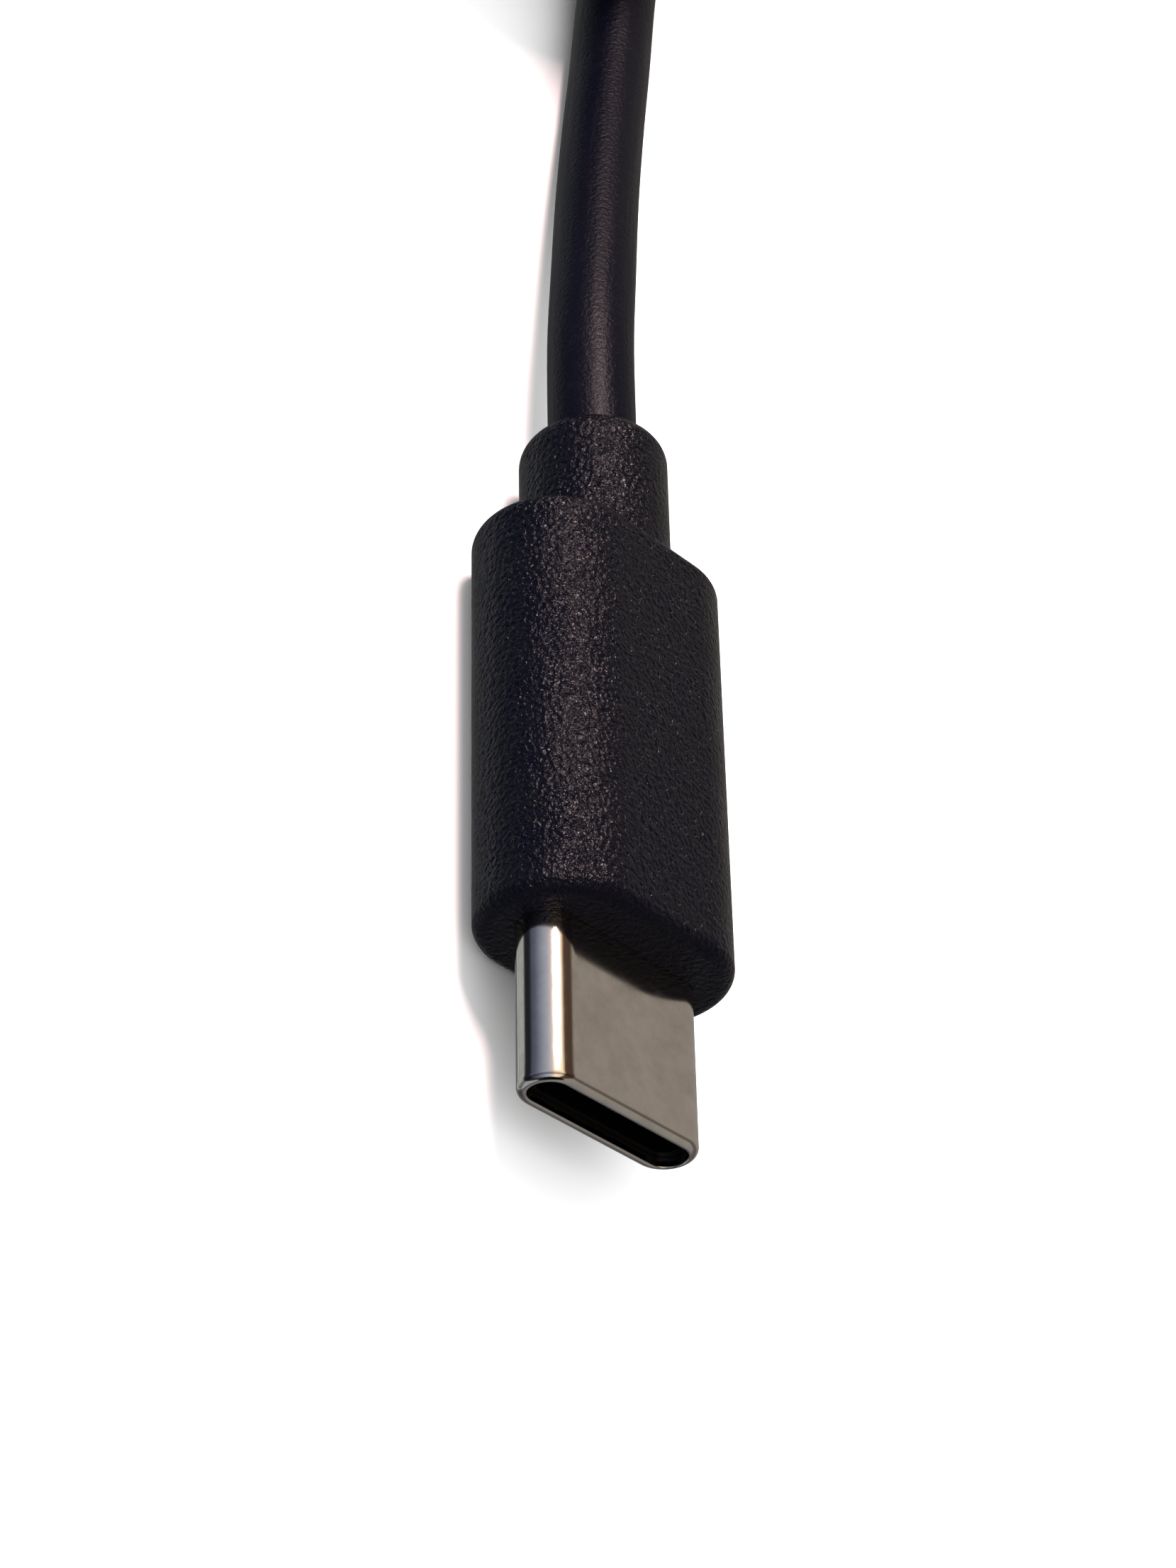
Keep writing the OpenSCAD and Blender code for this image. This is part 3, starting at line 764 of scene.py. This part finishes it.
steel = sheetMetal("spring steel", (0.58, 0.57, 0.55), (0.44, 0.43, 0.42), 0.26, (1, 0.06, 1))
gold = sheetMetal("contact gold", (0.80, 0.58, 0.25), (0.66, 0.46, 0.19), 0.2, (1, 0.05, 1))
tin = sheetMetal("shield tin", (0.60, 0.61, 0.62), (0.47, 0.47, 0.47), 0.3, (0.12, 1, 1), 0.09)
brass = sheetMetal("crimp brass", (0.62, 0.38, 0.20), (0.45, 0.26, 0.14), 0.28, (1, 0.1, 1))
jacket = cordJacket(cordFinishValues)
finishes = {
    "front_housing": filledPlastic("housing plastic", (0.0008, 0.0008, 0.001), (0.003, 0.003, 0.0035), 0.05),
    "rear_carrier": filledPlastic("carrier plastic", (0.016, 0.016, 0.018), (0.06, 0.06, 0.062)),
    "upper_contacts": gold,
    "lower_contacts": gold,
    "latch_plate": steel,
    "upper_ground_spring": steel,
    "lower_ground_spring": steel,
    "circuit_card": boardMask(boardFinishValues),
    "solder_joints": solderJoint(),
    "upper_shield": tin,
    "lower_shield": tin,
    "crimp_ring": brass,
    "inner_mould": milkyMould(),
    "jacket_end": jacket,
    "vbus_wire": wireSkin("red wire skin", (0.42, 0.02, 0.02)),
    "ground_wire": wireSkin("black wire skin", (0.015, 0.015, 0.016)),
    "cc_wire": wireSkin("blue wire skin", (0.02, 0.07, 0.36)),
    "data_plus_wire": wireSkin("green wire skin", (0.02, 0.22, 0.06)),
    "data_minus_wire": wireSkin("white wire skin", (0.75, 0.75, 0.72)),
}


def dress(piece, material):
    piece.data.materials.clear()
    piece.data.materials.append(material)


for prefix, place in (("", tipPlace), ("far_", farPlace)):
    for name, material in finishes.items():
        dress(nodes[prefix + name], material)
    dress(nodes[prefix + "bypass_capacitor"], chipBody(prefix + "chip body", place[0]))
rubber, plate = gripRubber(gripFinishValues), tipPlate(tipFinishValues)
for piece in grips:
    dress(piece, rubber)
for piece in shells:
    dress(piece, plate)
dress(cord, jacket)
dress(ties, strapWeave())
print("finishes set")

# Floor and light: a pale floor under an even sky, a soft key, and long soft strips that only mirrors see
stageValues = {
    "floorSize": 4.0,
    "floor": (0.9, 0.9, 0.9),
    "sky": 1.5,
    "key": ((-0.35, 0.575, 0.74), 0.55, 0.12, 100.0, (1.0, 0.75, 0.74)),
    "stripRadius": 0.6,
    "stripSpan": (-1.5, 2.0),
    "dip": (-0.39, -0.33, -0.13, 0.03),
    "dipGlow": 0.42,
    "strips": [
        (-180, (0.28, 0.29, 0.28)), (-170, (0.48, 0.50, 0.48)), (-146, (0.48, 0.50, 0.48)), (-139, (0.02, 0.02, 0.02)),
        (-118, (0.02, 0.02, 0.03)), (-110, (0.10, 0.11, 0.15)), (-96, (0.15, 0.16, 0.22)), (-78, (0.32, 0.35, 0.43)),
        (-55, (0.56, 0.57, 0.65)),
        (-42, (0.85, 0.74, 0.70)), (-34, (1.55, 1.20, 0.88)), (-11, (1.55, 1.20, 0.82)), (0, (0.10, 0.055, 0.035)),
        (26, (0.10, 0.06, 0.04)), (36, (0.38, 0.33, 0.28)), (90, (0.37, 0.33, 0.29)), (112, (0.33, 0.31, 0.29)),
        (130, (0.30, 0.29, 0.28)), (158, (0.16, 0.16, 0.17)), (172, (0.16, 0.16, 0.16)), (180, (0.28, 0.29, 0.28)),
    ],
}


def makeFloor(v):
    half = v["floorSize"] / 2
    mesh = bpy.data.meshes.new("floor")
    mesh.from_pydata([(-half, -half, 0), (half, -half, 0), (half, half, 0), (-half, half, 0)], [], [(0, 1, 2, 3)])
    floor = bpy.data.objects.new("floor", mesh)
    bpy.context.scene.collection.objects.link(floor)
    material, tree, shader = newFinish("pale floor", v["floor"], 0.75, specular=0.1)
    dress(floor, material)
    floor.visible_glossy = False


# A soft square light of a given radiance, turned to face the plug: its power is radiance times pi times its area
def makeKey(direction, distance, size, radiance, color):
    data = bpy.data.lights.new("key", "AREA")
    data.size = size
    data.energy = radiance * math.pi * size * size
    data.color = color
    key = bpy.data.objects.new("key", data)
    bpy.context.scene.collection.objects.link(key)
    toKey = np.array(direction) / np.linalg.norm(direction)
    across = np.cross([0, 0, 1], toKey)
    across /= np.linalg.norm(across)
    matrix = np.eye(4)
    matrix[:3, 0], matrix[:3, 1], matrix[:3, 2] = across, np.cross(toKey, across), toKey
    matrix[:3, 3] = toKey * distance
    key.matrix_world = matrix.T.tolist()
    key.visible_camera = False


# Long soft strips round the plug's long axis: a tube whose glow is set by the angle from straight up, and dips along
# the stretch over the camera
def makeStrips(v):
    angle = np.linspace(0, 2 * math.pi, 96, endpoint=False)
    ring = np.stack([np.sin(angle), 0 * angle, np.cos(angle)], axis=1) * v["stripRadius"]
    ends = np.array(v["stripSpan"])[:, None, None] * np.array([0, 1, 0])
    strips = gridPiece("strips", (ring[None] + ends) / mm)
    material = bpy.data.materials.new("strip glow")
    material.use_nodes = True
    tree = material.node_tree
    tree.nodes.remove(tree.nodes["Principled BSDF"])
    glow = tree.nodes.new("ShaderNodeEmission")
    place = patternPlace(tree)
    turn = tree.nodes.new("ShaderNodeMath")
    turn.operation = "ARCTAN2"
    tree.links.new(axisOf(tree, place, "X"), turn.inputs[0])
    tree.links.new(axisOf(tree, place, "Z"), turn.inputs[1])
    ramp = tree.nodes.new("ShaderNodeValToRGB")
    for degrees, color in v["strips"]:
        stop = ramp.color_ramp.elements.new((degrees + 180) / 360)
        stop.color = (*color, 1)
    for spare in (0, -1):
        ramp.color_ramp.elements.remove(ramp.color_ramp.elements[spare])
    tree.links.new(between(tree, turn.outputs["Value"], -math.pi, math.pi, 0, 1), ramp.inputs["Fac"])
    tree.links.new(ramp.outputs["Color"], glow.inputs["Color"])
    along = axisOf(tree, place, "Y")
    before, after = between(tree, along, *v["dip"][:2], 1, 0), between(tree, along, *v["dip"][2:], 0, 1)
    lit = weighted(tree, before, 1 - v["dipGlow"], after, 1 - v["dipGlow"])
    tree.links.new(between(tree, lit, 0, 1, v["dipGlow"], 1 + v["dipGlow"]), glow.inputs["Strength"])
    tree.links.new(glow.outputs["Emission"], tree.nodes["Material Output"].inputs["Surface"])
    material.cycles.emission_sampling = "NONE"
    dress(strips, material)
    strips.visible_camera = strips.visible_diffuse = strips.visible_shadow = False
    strips.visible_transmission = False


# An even sky that lights matt surfaces and is left out of mirrors
def makeSky(v):
    world = bpy.data.worlds.new("sky")
    world.use_nodes = True
    world.node_tree.nodes["Background"].inputs["Color"].default_value = (1, 1, 1, 1)
    world.node_tree.nodes["Background"].inputs["Strength"].default_value = v["sky"]
    world.cycles_visibility.glossy = False
    bpy.context.scene.world = world


makeFloor(stageValues)
makeSky(stageValues)
makeKey(*stageValues["key"])
makeStrips(stageValues)
bpy.context.scene.view_settings.view_transform = "Standard"
print("floor and lights set")
